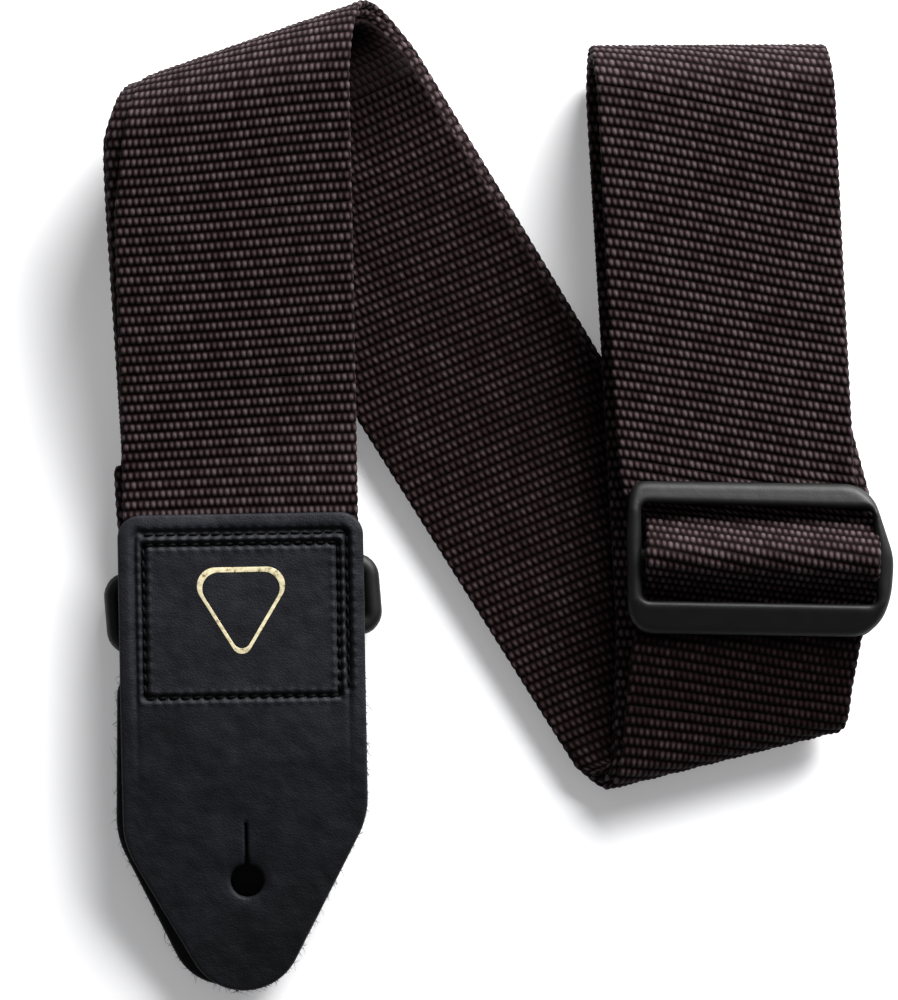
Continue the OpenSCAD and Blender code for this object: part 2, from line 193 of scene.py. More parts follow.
def left_place(out, z, along):
    return line_row(LEFT_GROUND, LEFT_LINE, LEFT_EDGE, out, z, along)


def left_slope_rows(i):
    """From the level stretch up the slope to the top of the left fold."""
    s = math.radians(LEFT_SLOPE)
    r = LEFT_R[i]
    top_out, top_z = -r * math.sin(s), LEFT_POINT[2] + r * math.cos(s)
    flat_z = LEFT_FLAT_Z - i * PITCH
    bend_out = top_out - (top_z - flat_z) / math.tan(s)
    offset = LEFT_OFFSET[i] / LEFT_COS
    last = left_place(top_out, top_z, LEFT_TAN * top_out + offset)
    near_out = top_out - SLOPE_BEND
    near = left_place(near_out, top_z - SLOPE_BEND * math.tan(s), LEFT_TAN * near_out + offset * 0.9)
    if i == 0:
        last[0] = last[0] + heading(LEFT_LINE) * CORNER_OUT
    return [left_place(bend_out, flat_z, LEFT_TAN * bend_out), near, last]


def swell(k, count):
    """0 at both ends of a fold, 1 at its middle."""
    return math.sin(math.pi * k / (count - 1)) ** 1.5


def left_fold_rows(i):
    """The outer layer stands out more at both of its edges."""
    r = LEFT_R[i]
    start = -LEFT_TAN * r * math.sin(math.radians(LEFT_SLOPE)) + LEFT_OFFSET[i] / LEFT_COS
    end = LEFT_EXIT + DIAGONAL_OFFSET[i] / LEFT_COS
    rows = turn(LEFT_POINT[2], r, 90 + LEFT_SLOPE, -90, start, end, left_place)
    out = heading(LEFT_LINE + 90)
    for k, row in enumerate(rows):
        pull = swell(k, len(rows))
        row[0] = row[0] - out * (1.3 if i == 0 else 0.3) * pull
        if i == 0:
            row[0] = row[0] + heading(LEFT_LINE) * (CORNER_OUT * (1 - k / (len(rows) - 1)) + 2.0 * pull)
        row[1] = row[1] + out * 0.8 * pull
    return rows


def bottom_place(out, z, along):
    return line_row(BOTTOM_GROUND, BOTTOM_LINE, BOTTOM_EDGE, out, z, along, side=-1)


def bottom_fold_rows(i):
    """The outer layer bulges out loosely at the right end of the fold."""
    start = DIAGONAL_END_OFFSET[i] / BOTTOM_COS
    rows = turn(BOTTOM_POINT[2], BOTTOM_R[i], -90, 90, start, start + BOTTOM_SHIFTS[i], bottom_place)
    out = heading(BOTTOM_LINE - 90)
    for k, row in enumerate(rows):
        bulge = swell(k, len(rows))
        row[0] = row[0] + out * 1.2 * bulge
        row[1] = row[1] + out * (4.0 if i == 0 else 2.2) * bulge
    return rows


def right_row(x, y, z, half=WEB_W / 2):
    return [np.array([x - half, y, z]), np.array([x + half, y, z])]


def slider_row(y, z):
    across = heading(SLIDER_TURN)
    middle = SLIDER_GROUND + heading(SLIDER_TURN + 90) * y + UP * z + across * 0.3
    return [middle - across * SQUEEZED_W / 2, middle + across * SQUEEZED_W / 2]


SLIDER_UNDER = SLIDER_LO[2]
UNDER_TOP = SLIDER_UNDER - 0.35 - HALF_T  # the webbing under the slider's upper bar
UNDER_BOTTOM = SLIDER_UNDER - 0.4 - HALF_T  # and under its lower one
WRAP_R = BAR_R + WRAP_FIT + HALF_T
HUMP_R = WRAP_R + PITCH


def bar_rows(r, a0, a1, step):
    """Round the centre bar, at this distance from its middle."""
    return [slider_row(BAR_Y + r * math.cos(a), BAR_Z + r * math.sin(a))
            for a in np.radians(np.arange(a0, a1, step))]


def hump_rows():
    """Over the slider's centre bar. The webbing is squeezed narrower there."""
    return [right_row(RIGHT_X, SLIDER[1] - HUMP_END, UNDER_BOTTOM, 24.9),
            slider_row(BAR_Y - 8.4, UNDER_BOTTOM), *bar_rows(HUMP_R, 140, 39, -5),
            slider_row(BAR_Y + 8.4, UNDER_TOP),
            right_row(RIGHT_X + 0.9, SLIDER[1] + 14.2, UNDER_TOP, 25.1),
            right_row(RIGHT_X, SLIDER[1] + HUMP_END, UNDER_TOP, 25.2)]


def sewn_loop_rows():
    """Round the centre bar, and back under itself to the bar tack."""
    upper, lower = UNDER_TOP - PITCH, UNDER_TOP - 2 * PITCH
    return [right_row(RIGHT_X, SLIDER[1] + TACK_Y, upper), slider_row(BAR_Y + 7.2, upper),
            *bar_rows(WRAP_R, 44, 266, 8), slider_row(BAR_Y + 7.4, lower),
            right_row(RIGHT_X, SLIDER[1] + TACK_Y - 2, lower)]


def top_rows(i):
    """The top fold, turned slightly: its left edge reaches further up."""
    def place(out, z, along):
        left, right = right_row(along, TOP_Y + out, z)
        return [left + [0, 1.9, 0], right - [0, 0.7, 0]]
    return turn(TOP_CENTRE_Z, TOP_R[i], 90, -90, RIGHT_X - 0.3, BACK_X, place)


def right_back_rows(i):
    """A back layer, from the top fold down to the bottom fold."""
    floor = TOP_CENTRE_Z - TOP_R[2 - i]
    level = BOTTOM_POINT[2] + BOTTOM_R[i]
    base = BOTTOM_POINT[1] + 3
    return [right_row(BACK_X, TOP_Y - 6, floor), right_row(BACK_X, base + 86, level),
            right_row(BACK_X, base + 22, level)]


def ring_point(x, down, z):
    """A point of the ring, which lies turned in its loops."""
    a = math.radians(RING_TURN)
    y = down - RING_MID
    return left_point(x * math.cos(a) + y * math.sin(a), RING_MID + y * math.cos(a) - x * math.sin(a), z)


def ring_row(down, z):
    return [ring_point(-WEB_W / 2, down, z), ring_point(WEB_W / 2, down, z)]


WRAP_R_RING = RING_BAR_R + WRAP_FIT + HALF_T


def ring_turn_rows(bar, side):
    """Half a turn round one bar of the ring, on its lower side for 1 and its upper side for -1."""
    return [ring_row(bar + side * WRAP_R_RING * math.cos(a), RING_Z + WRAP_R_RING * math.sin(a))
            for a in np.radians(np.arange(-90, 91, 12))]


HARD = 0.15  # rows no softer than this keep their exact shape


class Path:
    """A run of webbing, as rows of two edge points, with named places along it."""

    def __init__(self):
        self.rows = []
        self.marks = {}
        self.soft = []

    def add(self, rows, soft, start=None, end=None):
        """Rows of this softness, with marks at the first and the last of them."""
        self.marks[start] = len(self.rows)
        self.rows += rows
        self.soft += [soft] * len(rows)
        self.marks[end] = len(self.rows) - 1

    def finish(self):
        """Smooth each stretch by its own softness, in mm, and measure the run of both edges."""
        pts = np.array(self.rows)
        middle = pts.mean(axis=1)
        run = np.concatenate([[0], np.cumsum(np.linalg.norm(np.diff(middle, axis=0), axis=1))])
        fine = np.arange(0, run[-1], ROW_STEP)
        dense = np.stack([[np.interp(fine, run, pts[:, e, c]) for c in range(3)] for e in range(2)])
        soft = np.interp(fine, run, np.array(self.soft))
        keys = sorted(set(self.soft))
        level = {k: smooth(dense, k / ROW_STEP) if k > HARD else dense for k in keys}
        out = level[keys[0]].copy()
        for a, b in zip(keys[:-1], keys[1:]):
            inside = (soft >= a) & (soft <= b)
            k = np.clip((soft - a) / (b - a), 0, 1)
            out[:, :, inside] = (level[a] * (1 - k) + level[b] * k)[:, :, inside]
        # the developed run of each selvage, kept in step over the whole length
        length = np.linalg.norm(np.diff(out, axis=2), axis=1)
        self.run = np.concatenate([np.zeros((2, 1)), np.cumsum(length, axis=1)], axis=1)
        self.fine, self.edges = fine, out
        middle_run = self.run.mean(axis=0)
        self.at = {k: float(np.interp(run[v], fine, middle_run)) for k, v in self.marks.items() if k}
        self.end = float(middle_run[-1])
        return self

    def surface(self, s, w):
        """Points of the webbing's middle surface at developed places s (rows) and w (columns)."""
        out = np.empty(s.shape + (3,))
        for c, k in enumerate(w / WEB_W + 0.5):
            row = np.interp(s[:, c], self.run[0] * (1 - k) + self.run[1] * k, self.fine)
            line = self.edges[0] * (1 - k) + self.edges[1] * k
            for axis in range(3):
                out[:, c, axis] = np.interp(row, self.fine, line[axis])
        return out


def smooth(values, sigma):
    """A Gaussian along the last axis, with the two ends held in place."""
    reach = int(sigma * 4) + 1
    x = np.arange(-reach, reach + 1)
    kernel = np.exp(-0.5 * (x / sigma) ** 2)
    kernel /= kernel.sum()

    def blur(v):
        head = 2 * v[0] - v[reach:0:-1]
        tail = 2 * v[-1] - v[-2:-reach - 2:-1]
        return np.convolve(np.concatenate([head, v, tail]), kernel, mode="valid")

    return np.apply_along_axis(blur, 2, values)


def under_leather_rows(i):
    z = LEFT_FLAT_Z - i * PITCH
    return [left_row(LEATHER_TOP - 12, z, shift=-2.0), left_row(LEATHER_TOP - 1, z, shift=-1.6)]


def build_path():
    """The main webbing, from its end under the front leather to its sewn end at the slider."""
    p = Path()
    p.add([left_row(LEATHER_TOP + FRONT_TAIL, LEFT_FLAT_Z), left_row(LEATHER_TOP, LEFT_FLAT_Z)], 1.0,
          end="leather_top")
    p.add(left_slope_rows(0)[:1], 3.0)
    p.add(left_slope_rows(0)[1:], 2.0, "left_top")
    p.add(left_fold_rows(0), 1.5, end="left_bottom")
    p.add(bottom_fold_rows(0), 0.8, "bottom_start", "bottom_top")
    p.add(hump_rows(), 0.8, "slider_in", "slider_out")
    p.add([right_row(RIGHT_X - 0.5, SLIDER[1] + HUMP_END + 30, UNDER_TOP + 2.4)], 3.0)
    p.add([right_row(RIGHT_X - 0.3, TOP_Y - 8, TOP_CENTRE_Z + TOP_R[0] - 0.3)], 3.0)
    p.add(top_rows(0), 1.5, "top_start", "top_end")
    p.add(right_back_rows(2), 3.0)
    p.add(bottom_fold_rows(2)[::-1], 0.1, "inner_start", "inner_end")
    p.add(left_fold_rows(2)[::-1], 1.2, "left_inner_start", "left_inner_end")
    p.add(left_slope_rows(2)[::-1], 3.0)
    p.add(under_leather_rows(2), 2.0)
    p.add(ring_turn_rows(RING_MID - RING_BAR_Y, 1), 0.1)
    p.add(under_leather_rows(1)[::-1], 2.0)
    p.add(left_slope_rows(1), 3.0)
    p.add(left_fold_rows(1), 1.2, "left_middle_start", "left_middle_end")
    p.add(bottom_fold_rows(1), 0.3, "middle_start", "middle_end")
    p.add(right_back_rows(1)[::-1], 3.0)
    p.add(top_rows(1)[::-1], 1.2, end="top_inner_end")
    p.add(sewn_loop_rows(), 0.1, "sewn_in", "sewn_end")
    return p.finish()


PATH = build_path()
AT = PATH.at


def skew_at(s):
    """How much a rib leans, as run per width, at each place along the webbing."""
    places = [0, AT["leather_top"], AT["leather_top"] + 40, AT["left_top"], AT["bottom_start"],
              AT["slider_in"], AT["top_start"], PATH.end]
    leans = [0.0, 0.02, 0.06, 0.07, 0.03, -0.06, -0.10, 0.0]
    return np.interp(s, places, leans)


def rib(s):
    """The nearest groove between two ribs."""
    return round(s / RIB) * RIB


EDGE_R = 0.8  # rounding of the webbing's edges
GROOVE = 0.72  # depth of the groove between two bumps, as a share of a rib's height


def webbing(name, path, s0, s1, fine):
    """One closed piece of the webbing, between two places along its run."""
    s0, s1 = rib(s0), rib(s1)
    steps = RIB_STEPS if fine else 2
    count = round((s1 - s0) / RIB) * steps
    s = s0 + np.arange(-1, count + 2) * RIB / steps
    halves = round(WEB_W / BUMP * BUMP_STEPS / 2)
    fine_w = np.arange(-halves, halves + 1) * (WEB_W / (2 * halves))
    rim = WEB_W / 2
    coarse_w = np.concatenate([[-rim], np.linspace(-rim + 0.5, rim - 0.5, 14), [rim]])
    upper = fine_w if fine else coarse_w
    lower = coarse_w[1:-1][::-1]
    w = np.concatenate([upper, lower])
    side = np.repeat([1.0, -1.0], [len(upper), len(lower)])
    S, W = np.meshgrid(s, w, indexing="ij")
    lean = skew_at(S) * W * (1 - 0.25 * (W / WEB_W * 2) ** 2)
    # the ribs are never quite parallel
    wander = 0.16 * np.sin(0.043 * S + 0.08 * W) + 0.10 * np.sin(0.117 * S - 0.06 * W + 1.3)
    place = np.clip(S + lean + wander, 0.01, path.end - 0.01)
    base = path.surface(place, w)
    du, dw = np.gradient(base[:, :len(upper)], axis=(0, 1))
    # each lower column takes its directions from the nearest upper one
    above = list(range(len(upper))) + [int(np.argmin(np.abs(upper - x))) for x in lower]
    normal = unit(np.cross(dw, du))[:, above]
    across = unit(dw)[:, above]

    j = np.floor(S / RIB + 1e-6)
    t = S / RIB - j
    rib_h = np.clip(np.sin(np.pi * t), 0, 1) ** 0.7
    phase = W / BUMP + 0.5 * (j % 2)
    bump = np.cos(np.pi * phase) ** 2
    detail = (side > 0) * float(fine)
    cell = np.floor(phase + 0.5)
    uneven = 1 + 0.10 * np.sin(1.7 * j + 0.9 * cell) + 0.08 * np.sin(4.1 * j - 2.3 * cell)
    h = rib_h * (1 - detail * GROOVE * (1 - bump ** 0.6)) * uneven
    from_edge = rim - np.abs(W)
    round_off = np.sqrt(1 - np.clip((EDGE_R - from_edge) / EDGE_R, 0, 1) ** 2)
    half = (HALF_T - CREST * 0.85 + CREST * h) * round_off
    # each rib stands out at the webbing's edges
    pull = np.where(from_edge < EDGE_R + 0.1, 0.22 * (rib_h - 0.6), 0.0) * np.sign(W)
    pts = base + normal * (half * side)[:, :, None] + across * pull[:, :, None]
    pts, S, W = pts[1:-1], S[1:-1], W[1:-1]
    n, m = S.shape
    index = np.arange(n * m).reshape(n, m)
    after = np.roll(index, -1, axis=1)
    quads = np.stack([index[:-1], after[:-1], after[1:], index[1:]], axis=-1).reshape(-1, 4)
    faces = quads.tolist() + [index[0][::-1].tolist(), index[-1].tolist()]
    ob = new_mesh(name, pts.reshape(-1, 3), faces, "webbing", "webbing")
    uv = ob.data.uv_layers.new(name="run")  # in bumps across and ribs along
    corner = np.empty(len(ob.data.loops), np.int32)
    ob.data.loops.foreach_get("vertex_index", corner)
    flat = np.stack([(W / BUMP).ravel(), (S / RIB).ravel()], axis=1)
    uv.data.foreach_set("uv", flat[corner].astype(np.float32).ravel())
    ends = np.empty(len(ob.data.edges) * 2, np.int32)
    ob.data.edges.foreach_get("vertices", ends)
    ends = ends.reshape(-1, 2) // m
    sharp = (ends[:, 0] == ends[:, 1]) & ((ends[:, 0] == 0) | (ends[:, 0] == n - 1))
    ob.data.attributes.new("sharp_edge", "BOOLEAN", "EDGE").data.foreach_set("value", sharp)
    return ob, float(s1 - s0) * MM


def link(name, data):
    ob = bpy.data.objects.new(name, data)
    bpy.context.scene.collection.objects.link(ob)
    return ob


def new_mesh(name, pts_mm, faces, material, slot, body=None, nodes=None):
    mesh = bpy.data.meshes.new(name)
    mesh.from_pydata((np.asarray(pts_mm) * MM).tolist(), [], faces)
    mesh.update()
    flip_if_inside_out(mesh)
    mesh.shade_smooth()
    mesh.materials.append(MATERIALS[material])
    ob = link(name, mesh)
    if nodes is not None:
        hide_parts(*nodes)
    if body:
        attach(ob, body)
    return ob


def flip_if_inside_out(mesh):
    mesh.calc_loop_triangles()
    n = len(mesh.loop_triangles)
    tri = np.empty(n * 3, np.int32)
    mesh.loop_triangles.foreach_get("vertices", tri)
    co = np.empty(len(mesh.vertices) * 3)
    mesh.vertices.foreach_get("co", co)
    p = co.reshape(-1, 3)[tri].reshape(-1, 3, 3)
    if np.einsum("ij,ij->i", p[:, 0], np.cross(p[:, 1], p[:, 2])).sum() < 0:
        mesh.flip_normals()


# Materials --------

class Nodes:
    """A short way to build a shader's node tree."""

    def __init__(self, name):
        self.material = bpy.data.materials.new(name)
        self.material.use_nodes = True
        self.tree = self.material.node_tree
        self.shader = self.tree.nodes["Principled BSDF"]

    def add(self, kind, inputs=None, **settings):
        node = self.tree.nodes.new(kind)
        for key, value in settings.items():
            setattr(node, key, value)
        for key, value in (inputs or {}).items():
            self.put(node, key, value)
        return node

    def put(self, node, key, value):
        if isinstance(value, bpy.types.NodeSocket):
            self.tree.links.new(value, node.inputs[key])
        else:
            node.inputs[key].default_value = value

    def math(self, operation, a, b=0.0, c=0.0):
        return self.add("ShaderNodeMath", {0: a, 1: b, 2: c}, operation=operation).outputs[0]

    def times(self, a, b):
        return self.math("MULTIPLY", a, b)

    def scaled(self, a, b, c):
        """a * b + c"""
        return self.math("MULTIPLY_ADD", a, b, c)

    def darker(self, tone, share):
        return self.times(tone, self.math("SUBTRACT", 1.0, share))

    def where(self):
        return self.add("ShaderNodeTexCoord").outputs["Object"]

    def split(self, vector):
        return self.add("ShaderNodeSeparateXYZ", {0: vector}).outputs

    def noise(self, vector, scale, detail=3.0, rough=0.55):
        inputs = {"Vector": vector, "Scale": scale, "Detail": detail, "Roughness": rough}
        return self.add("ShaderNodeTexNoise", inputs).outputs["Fac"]

    def fade(self, value, start, end, a, b):
        """From a where the value is at start, to b at end, and level outside them."""
        inputs = {"Value": value, "From Min": start, "From Max": end, "To Min": a, "To Max": b}
        return self.add("ShaderNodeMapRange", inputs, clamp=True).outputs[0]

    def stretch(self, vector, scale):
        return self.add("ShaderNodeMapping", {"Vector": vector, "Scale": scale}).outputs[0]

    def ramp(self, factor, stops):
        node = self.add("ShaderNodeValToRGB", {"Fac": factor})
        ramp = node.color_ramp
        while len(ramp.elements) < len(stops):
            ramp.elements.new(0.5)
        for element, (at, colour) in zip(ramp.elements, stops):
            element.position = at
            element.color = (*colour, 1)
        return node.outputs[0]

    def bump(self, height, distance, strength, normal=None):
        node = self.add("ShaderNodeBump", {"Height": height, "Distance": distance, "Strength": strength})
        if normal is not None:
            self.put(node, "Normal", normal)
        return node.outputs[0]

    def shade(self, **inputs):
        for key, value in inputs.items():
            self.put(self.shader, key.replace("_", " "), value)
        return self.material


def webbing_material():
    n = Nodes("webbing_weave")
    uv = n.add("ShaderNodeUVMap", uv_map="run").outputs[0]
    u, v, _ = n.split(uv)
    row = n.math("FLOOR", v)
    t = n.math("FRACT", v)
    odd = n.times(n.math("MODULO", n.math("ABSOLUTE", row), 2.0), 0.5)
    phase = n.math("ADD", u, odd)
    rib_h = n.math("SINE", n.times(t, math.pi))
    yarn = n.math("ABSOLUTE", n.math("COSINE", n.times(phase, math.pi)))
    bumps = n.scaled(n.math("POWER", yarn, 1.1), GROOVE, 1 - GROOVE)
    height = n.times(n.math("POWER", rib_h, 0.8), bumps)
    strands = n.noise(n.stretch(uv, (7.0, 1.1, 1.0)), 4.0, 4.0, 0.6)
    patchy = n.noise(uv, 0.22, 3.0)
    cell = n.add("ShaderNodeCombineXYZ", {0: n.math("ROUND", phase), 1: row}).outputs[0]
    cells = n.add("ShaderNodeTexWhiteNoise", {"Vector": cell}, noise_dimensions="3D").outputs["Value"]
    # painted shade and highlight: the colour follows the weave's height, darker in the grooves between bumps
    # and lighter on the bump tops; the strands, cells and patches below are the yarn's own varying tone
    tone = height
    for fleck, share, least in ((strands, 0.9, 0.40), (cells, 0.40, 0.8), (patchy, 0.5, 0.75)):
        tone = n.times(tone, n.scaled(fleck, share, least))
    # painted shade: darker from the inner bottom fold to the inner left fold, and most of all near that fold,
    # standing in for the shadows of the left fold's crest and of the right leg
    start, end = AT["inner_start"] / RIB, AT["left_inner_start"] / RIB
    painted_shade = n.math("ADD", n.fade(v, start - 4, start + 8, 0.0, 0.30), n.fade(v, end - 10, end - 2, 0.0, 0.50))
    painted_shade = n.times(painted_shade, n.fade(v, end + 4, end + 12, 1.0, 0.0))
    tone = n.darker(tone, painted_shade)
    # and more painted shade from the bottom fold to the slider, standing in for the slider's shadow
    start, end = AT["bottom_top"] / RIB, AT["slider_in"] / RIB
    painted_shade = n.fade(v, start - 10, start + 1, 0.0, 0.40)
    painted_shade = n.times(painted_shade, n.fade(v, end + 1, end + 5, 1.0, 0.0))
    tone = n.darker(tone, painted_shade)
    colour = n.ramp(tone, [
        (0.0, (0.0012, 0.0002, 0.0003)), (0.25, (0.0045, 0.0012, 0.0016)),
        (0.5, (0.0170, 0.0096, 0.0108)), (0.9, (0.070, 0.052, 0.056))])
    relief = n.math("ADD", n.times(strands, 0.3), height)
    return n.shade(Base_Color=colour, Roughness=n.scaled(strands, 0.25, 0.50),
                   Normal=n.bump(relief, 0.00022, 0.9), Specular_IOR_Level=0.04,
                   Sheen_Weight=0.02, Sheen_Roughness=0.4, Sheen_Tint=(0.9, 0.8, 0.82, 1))


def leather_material(name, tint=1.0):
    n = Nodes(name)
    where = n.where()
    grain = n.add("ShaderNodeTexVoronoi", {"Vector": where, "Scale": 1500.0},
                  feature="DISTANCE_TO_EDGE").outputs[0]
    fine = n.noise(where, 2600.0, 3.0)
    soft = n.noise(where, 160.0, 4.0, 0.6)
    broad = n.noise(where, 38.0, 3.0)
    pores = n.scaled(n.math("MINIMUM", n.times(grain, 6.0), 1.0), 0.6, n.times(fine, 0.5))
    tone = n.scaled(soft, 0.55, n.times(broad, 0.45))
    # painted shade: the tip is a little darker than the top, as where it bends down away from the light
    tone = n.math("ADD", tone, n.fade(n.split(where)[1], -0.10, -0.045, -0.16, 0.05))
    stops = [(0.25, (0.0020, 0.0022, 0.0034)), (0.5, (0.0062, 0.0066, 0.0094)),
             (0.8, (0.015, 0.0155, 0.020))]
    colour = n.ramp(tone, [(at, tuple(c * tint for c in shade)) for at, shade in stops])
    normal = n.bump(pores, 0.00010, 0.55, n.bump(soft, 0.0006, 0.5))
    rough = n.scaled(pores, -0.08, n.scaled(soft, 0.2, 0.55))
    return n.shade(Base_Color=colour, Roughness=rough, Normal=normal, Specular_IOR_Level=0.16)


def edge_material():
    n = Nodes("leather_cut_edge")
    where = n.where()
    fibre = n.noise(n.stretch(where, (1.0, 1.0, 0.25)), 2200.0, 5.0, 0.7)
    broad = n.noise(where, 300.0, 3.0)
    tone = n.times(fibre, n.scaled(broad, 0.8, 0.6))
    colour = n.ramp(tone, [(0.25, (0.002, 0.0022, 0.003)), (0.5, (0.008, 0.0085, 0.011)),
                           (0.75, (0.05, 0.052, 0.06))])
    return n.shade(Base_Color=colour, Roughness=0.9, Normal=n.bump(fibre, 0.0004, 0.9),
                   Specular_IOR_Level=0.15)


def plastic_material():
    n = Nodes("moulded_plastic")
    where = n.where()
    fine = n.noise(where, 3200.0, 3.0)
    soft = n.noise(where, 240.0, 4.0)
    rough = n.scaled(soft, 0.16, 0.44)
    colour = n.ramp(soft, [(0.3, (0.0016, 0.0017, 0.0018)), (0.7, (0.0030, 0.0031, 0.0033))])
    normal = n.bump(fine, 0.00006, 0.45, n.bump(soft, 0.0002, 0.3))
    return n.shade(Base_Color=colour, Roughness=rough, Normal=normal, Specular_IOR_Level=0.3)


def thread_material():
    n = Nodes("thread")
    ply = n.noise(n.where(), 2400.0, 4.0, 0.6)
    colour = n.ramp(ply, [(0.3, (0.0005, 0.0005, 0.0006)), (0.75, (0.0022, 0.0022, 0.0028))])
    return n.shade(Base_Color=colour, Roughness=0.6, Normal=n.bump(ply, 0.00015, 0.8),
                   Specular_IOR_Level=0.06)


def foil_material():
    n = Nodes("foil")
    wear = n.noise(n.where(), 900.0, 5.0, 0.65)
    colour = n.ramp(wear, [(0.34, (0.20, 0.15, 0.07)), (0.46, (0.72, 0.64, 0.40)), (0.8, (0.92, 0.86, 0.62))])
    return n.shade(Base_Color=colour, Roughness=0.42, Metallic=0.25, Normal=n.bump(wear, 0.00012, 0.5))


def floor_material():
    return Nodes("floor").shade(Base_Color=(0.90, 0.90, 0.91, 1), Roughness=0.85, Specular_IOR_Level=0.1,
                                Emission_Color=(1, 1, 1.02, 1), Emission_Strength=0.21)


MATERIALS = {
    "webbing": webbing_material(),
    "leather": leather_material("leather_grain"),
    # painted shade: the rear leather, which lies under the front one, is a darker copy of the same leather
    "leather_painted_shade": leather_material("leather_grain_rear_painted_shade", 0.85),
    "edge": edge_material(),
    "plastic": plastic_material(),
    "thread": thread_material(),
    "foil": foil_material(),
    "floor": floor_material(),
}


def band(name, s0, s1, nodes, fine, moves, path=PATH):
    """A length of webbing that rides one body; where moves gives two bodies and two points instead, the piece
    stays fixed where it lies.
    """
    ob, length = webbing(name, path, s0, s1, fine)
    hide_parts(*nodes.split())
    if isinstance(moves, str):
        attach(ob, moves)
    else:
        near, far, start, end = moves
        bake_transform(ob)


def fold_blends(leg, point, radii):
    return [("diagonal_leg", leg, point - UP * r * 0.8, point + UP * r * 0.8) for r in radii]


def slider_blend(near, far):
    start, end = [np.array([RIGHT_X, SLIDER[1] + y, 0.0]) for y in (near, far)]
    return ("slider", "right_leg", start, end)


LEFT_BLENDS = fold_blends("left_leg", LEFT_POINT, LEFT_R)
BOTTOM_BLENDS = fold_blends("right_leg", BOTTOM_POINT, BOTTOM_R)
FLEX = ("front_end", "left_leg", left_point(0, LEATHER_TOP - 0.5, 0), left_point(0, LEATHER_TOP - 7, 0))

# Each stretch of the main webbing begins where the one before it ends. The visible ones are fine.
STRETCHES = [
    ("front_end", "leather_top", 30, "front_webbing_end front_flex_run", True, FLEX),
    ("left_leg", "left_top", -8, "left_front_run", True, "left_leg"),
    ("left_fold", "left_bottom", 8, "left_fold_outer", True, LEFT_BLENDS[0]),
    ("diagonal_back", "bottom_start", -8, "diagonal_back_run", True, "diagonal_leg"),
    ("bottom_fold", "bottom_top", 1, "bottom_fold_outer", True, BOTTOM_BLENDS[0]),
    ("right_lower", "slider_in", 4, "right_lower_run", True, slider_blend(-14.5, -36)),
    ("slider_hump", "slider_out", 0, "slider_webbing_hump", True, "slider"),
    ("right_upper", "top_start", -4, "right_upper_run", True, slider_blend(19, 86)),
    ("top_fold", "top_end", 6, "top_fold_outer", True, "right_leg"),
    ("right_back_outer", "inner_start", -6, "right_back_outer_run", False, "right_leg"),
    ("bottom_fold_inner", "inner_end", 8, "bottom_fold_inner", False, BOTTOM_BLENDS[2]),
    ("diagonal_front", "left_inner_start", -8, "diagonal_front_run", True, "diagonal_leg"),
    ("left_fold_inner", "left_inner_end", 8, "left_fold_inner", False, LEFT_BLENDS[2]),
    ("ring_pass", "left_middle_start", -8, "left_back_run ring_turn left_sewn_run", False, "left_leg"),
    ("left_fold_middle", "left_middle_end", 8, "left_fold_middle", False, LEFT_BLENDS[1]),
    ("diagonal_middle", "middle_start", -8, "diagonal_middle_run", False, "diagonal_leg"),
    ("bottom_fold_middle", "middle_end", 6, "bottom_fold_middle", False, BOTTOM_BLENDS[1]),
    ("right_back_inner", "top_inner_end", 1, "right_back_inner_run top_fold_inner", False, "right_leg"),
    ("right_sewn", "sewn_in", 0, "right_sewn_run", False, slider_blend(28, 86)),
    ("sewn_loop", "sewn_end", -1, "sewn_end_loop", False, "slider"),
]
stretch_start = 1
for stretch, mark, past, nodes, fine, moves in STRETCHES:
    stretch_end = AT[mark] + past
    band("webbing_" + stretch, stretch_start, stretch_end, nodes, fine, moves)
    stretch_start = stretch_end


# Leather --------

LEATHER_T = 3.2
LEATHER_W = 53.0
FRONT_L = 103.5
HOLE_R = 3.6
HOLE_FROM_TIP = 24.0
SLIT_L = 9.0
FRONT_Z = LEFT_FLAT_Z + HALF_T
FRONT_BEND = 46.0  # from the front leather's top to where it bends down
FRONT_DROP = 6.6


BLOCK = 4000
WALL_LEVELS = 3  # rows of points down a plate's cut edge


def arc(cx, cy, r, a0, a1, step=0.5):
    count = max(3, int(abs(math.radians(a1 - a0)) * r / step))
    a = np.radians(np.linspace(a0, a1, count + 1))
    return np.stack([cx + r * np.cos(a), cy + r * np.sin(a)], axis=1)


def hull(points):
    """The convex hull, anticlockwise."""
    pts = sorted(map(tuple, points))

    def half(seq):
        out = []
        for p in seq:
            while len(out) > 1 and ((out[-1][0] - out[-2][0]) * (p[1] - out[-2][1])
                                    - (out[-1][1] - out[-2][1]) * (p[0] - out[-2][0])) <= 0:
                out.pop()
            out.append(p)
        return out[:-1]

    return np.array(half(pts) + half(pts[::-1]))


def leather_outline(w, l):
    """A leather end, from its top at 0 to its tip at -l. Its shoulders are cut unevenly."""
    points = [arc(-0.9, -l + 12.6, 12.6, 0, 360, 0.3)]
    for side, shoulder in ((-1, 37), (1, 42)):
        points.append(arc(side * (w / 2 - 5), -5, 5, 0, 360, 0.3))
        points.append(arc(side * (w / 2 - 18), shoulder - l, 18, 0, 360, 0.3))
    return resample(hull(np.concatenate(points)), 0.5)


def resample(loop, step):
    """The same closed loop in even steps."""
    closed = np.concatenate([loop, loop[:1]])
    run = np.concatenate([[0], np.cumsum(np.linalg.norm(np.diff(closed, axis=0), axis=1))])
    count = int(run[-1] / step)
    at = np.arange(count) * run[-1] / count
    return np.stack([np.interp(at, run, closed[:, 0]), np.interp(at, run, closed[:, 1])], axis=1)


